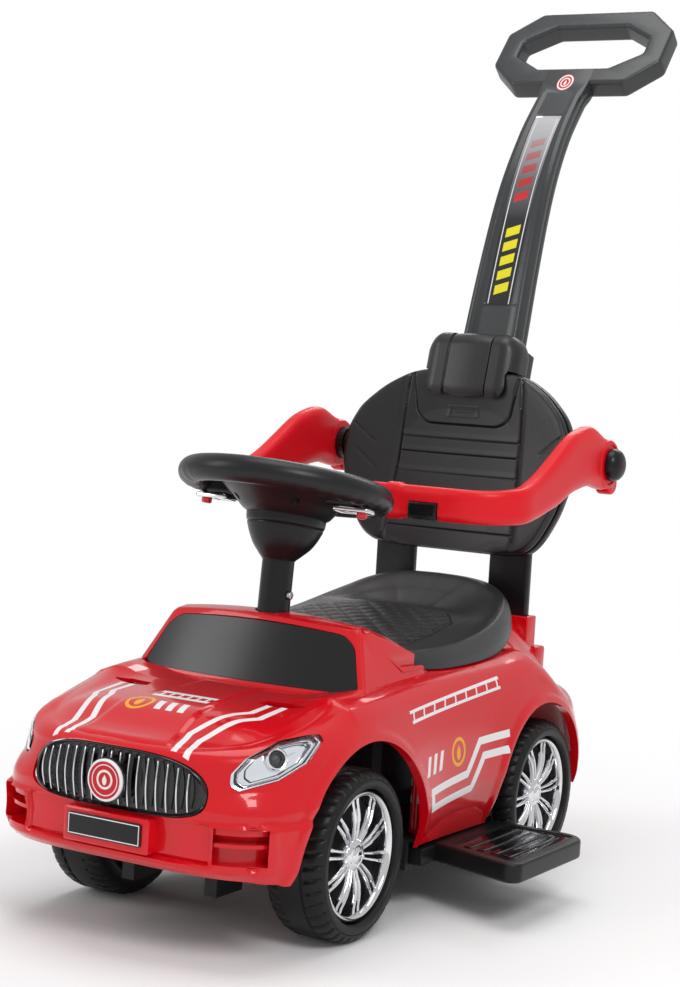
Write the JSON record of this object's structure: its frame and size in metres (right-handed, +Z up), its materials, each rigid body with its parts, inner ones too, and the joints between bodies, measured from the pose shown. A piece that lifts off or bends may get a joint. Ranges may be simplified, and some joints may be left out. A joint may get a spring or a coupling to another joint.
{
  "type": "ride-on push car",
  "caption": "Toddler's ride-on push car with steered front wheels, lift-up seat over a storage tub, backrest, swing-up guard, push handle and pull-out footrests.",
  "frame": {"origin": "middle of the car's box, on the floor", "axes": "front towards -Y, +X the car's left, +Z up"},
  "size_m": [0.464, 0.8859, 0.912],
  "materials": {
    "red_shell": "glossy moulded red",
    "red_guard": "satin moulded red",
    "black_satin": "satin black",
    "black_matte": "fine grained black",
    "black_gloss": "glossy black",
    "handle_grey": "dark grey, satin",
    "chrome_plastic": "plated plastic, bright",
    "steel": "zinc plated",
    "clear": "clear moulded plastic",
    "white": "white printed disc"
  },
  "bodies": {
    "car": {"body_shell": "red_shell", "windscreen_panel": "black_satin", "chassis_pan": "black_satin", "storage_box": "black_satin", "guard_knob_left": "black_satin", "guard_knob_right": "black_satin", "guard_spacer_left": "black_satin", "guard_spacer_right": "black_satin", "backrest_rear": "black_satin", "backrest_front": "black_matte", "headrest": "black_matte", "grille": "black_gloss", "number_plate": "black_gloss", "push_handle": "handle_grey", "headlight_reflector_left": "chrome_plastic", "headlight_reflector_right": "chrome_plastic", "seat_hinge_pin": "steel", "kingpin_bolt_left": "steel", "kingpin_bolt_right": "steel", "rear_axle": "steel", "axle_nut_rear_left": "steel", "axle_nut_rear_right": "steel", "handle_bolt_upper": "steel", "handle_bolt_lower": "steel", "bumper_screw_left": "steel", "bumper_screw_right": "steel", "headlight_lens_left": "clear", "headlight_lens_right": "clear", "grille_badge": "white"},
    "knuckle_left": {"steering_knuckle_left": "black_satin", "stub_axle_left": "steel", "axle_nut_front_left": "steel"},
    "knuckle_right": {"steering_knuckle_right": "black_satin", "stub_axle_right": "steel", "axle_nut_front_right": "steel"},
    "tie_bar": {"tie_rod": "black_satin"},
    "front_left_wheel": {"wheel_front_left": "black_satin", "hubcap_front_left": "chrome_plastic"},
    "front_right_wheel": {"wheel_front_right": "black_satin", "hubcap_front_right": "chrome_plastic"},
    "rear_left_wheel": {"wheel_rear_left": "black_satin", "hubcap_rear_left": "chrome_plastic"},
    "rear_right_wheel": {"wheel_rear_right": "black_satin", "hubcap_rear_right": "chrome_plastic"},
    "steering_gear": {"steering_rod": "steel", "steering_column": "black_satin", "column_screw": "steel", "steering_wheel": "black_matte", "wheel_trim_left": "chrome_plastic", "wheel_trim_right": "chrome_plastic", "hub_cover": "black_satin", "sound_module": "black_matte"},
    "left_button": {"sound_button_left": "red_guard"},
    "right_button": {"sound_button_right": "red_guard"},
    "lid_seat": {"seat": "black_matte"},
    "left_guard": {"guard_arm_left": "red_guard"},
    "right_guard": {"guard_arm_right": "red_guard"},
    "latch": {"guard_latch": "black_satin"},
    "left_footrest": {"footrest_left": "black_matte"},
    "right_footrest": {"footrest_right": "black_matte"}
  },
  "joints": [
    {"name": "kingpin_left", "type": "hinge", "parent": "car", "child": "knuckle_left", "pos_m": [0.072, -0.262, 0.075], "axis": [0, 0, 1], "range_deg": [-26, 26]},
    {"name": "wheel_spin_front_left", "type": "hinge", "parent": "knuckle_left", "child": "front_left_wheel", "pos_m": [0.1164, -0.262, 0.075], "axis": [1, 0, 0], "continuous": true},
    {"name": "wheel_spin_rear_left", "type": "hinge", "parent": "car", "child": "rear_left_wheel", "pos_m": [0.1164, 0.096, 0.075], "axis": [1, 0, 0], "continuous": true},
    {"name": "kingpin_right", "type": "hinge", "parent": "car", "child": "knuckle_right", "pos_m": [-0.072, -0.262, 0.075], "axis": [0, 0, 1], "range_deg": [-26, 26]},
    {"name": "wheel_spin_front_right", "type": "hinge", "parent": "knuckle_right", "child": "front_right_wheel", "pos_m": [-0.1164, -0.262, 0.075], "axis": [1, 0, 0], "continuous": true},
    {"name": "wheel_spin_rear_right", "type": "hinge", "parent": "car", "child": "rear_right_wheel", "pos_m": [-0.1164, 0.096, 0.075], "axis": [1, 0, 0], "continuous": true},
    {"name": "steering", "type": "hinge", "parent": "car", "child": "steering_gear", "pos_m": [0, -0.192, 0.38], "axis": [0, 0.0872, 0.9962], "range_deg": [-25, 25]},
    {"name": "tie_rod_pivot", "type": "hinge", "parent": "knuckle_left", "child": "tie_bar", "pos_m": [0.072, -0.228, 0.0615], "axis": [0, 0, 1], "range_deg": [-26, 26]},
    {"name": "button_press_left", "type": "slide", "parent": "steering_gear", "child": "left_button", "axis": [0, 0.2079, 0.9781], "range_m": [0, 0.0015], "stiffness_N_per_m": 250},
    {"name": "guard_lift_left", "type": "hinge", "parent": "car", "child": "left_guard", "pos_m": [0.158, 0.1575, 0.408], "axis": [-1, 0, 0], "range_deg": [0, 100]},
    {"name": "footrest_slide_left", "type": "slide", "parent": "car", "child": "left_footrest", "axis": [-1, 0, 0], "range_m": [0, 0.07]},
    {"name": "button_press_right", "type": "slide", "parent": "steering_gear", "child": "right_button", "axis": [0, 0.2079, 0.9781], "range_m": [0, 0.0015], "stiffness_N_per_m": 250},
    {"name": "guard_lift_right", "type": "hinge", "parent": "car", "child": "right_guard", "pos_m": [-0.158, 0.1575, 0.408], "axis": [-1, 0, 0], "range_deg": [0, 100]},
    {"name": "footrest_slide_right", "type": "slide", "parent": "car", "child": "right_footrest", "axis": [1, 0, 0], "range_m": [0, 0.07]},
    {"name": "latch_press", "type": "slide", "parent": "left_guard", "child": "latch", "axis": [0, 1, 0], "range_m": [0, 0.003], "stiffness_N_per_m": 400},
    {"name": "seat_lift", "type": "hinge", "parent": "car", "child": "lid_seat", "pos_m": [0, -0.1695, 0.2335], "axis": [1, 0, 0], "range_deg": [0, 35]}
  ],
  "couplings": [
    {"joint": "kingpin_left", "follows": "steering", "ratio": 1},
    {"joint": "kingpin_right", "follows": "steering", "ratio": 1},
    {"joint": "tie_rod_pivot", "follows": "steering", "ratio": -1},
    {"joint": "guard_lift_right", "follows": "guard_lift_left", "ratio": 1}
  ]
}
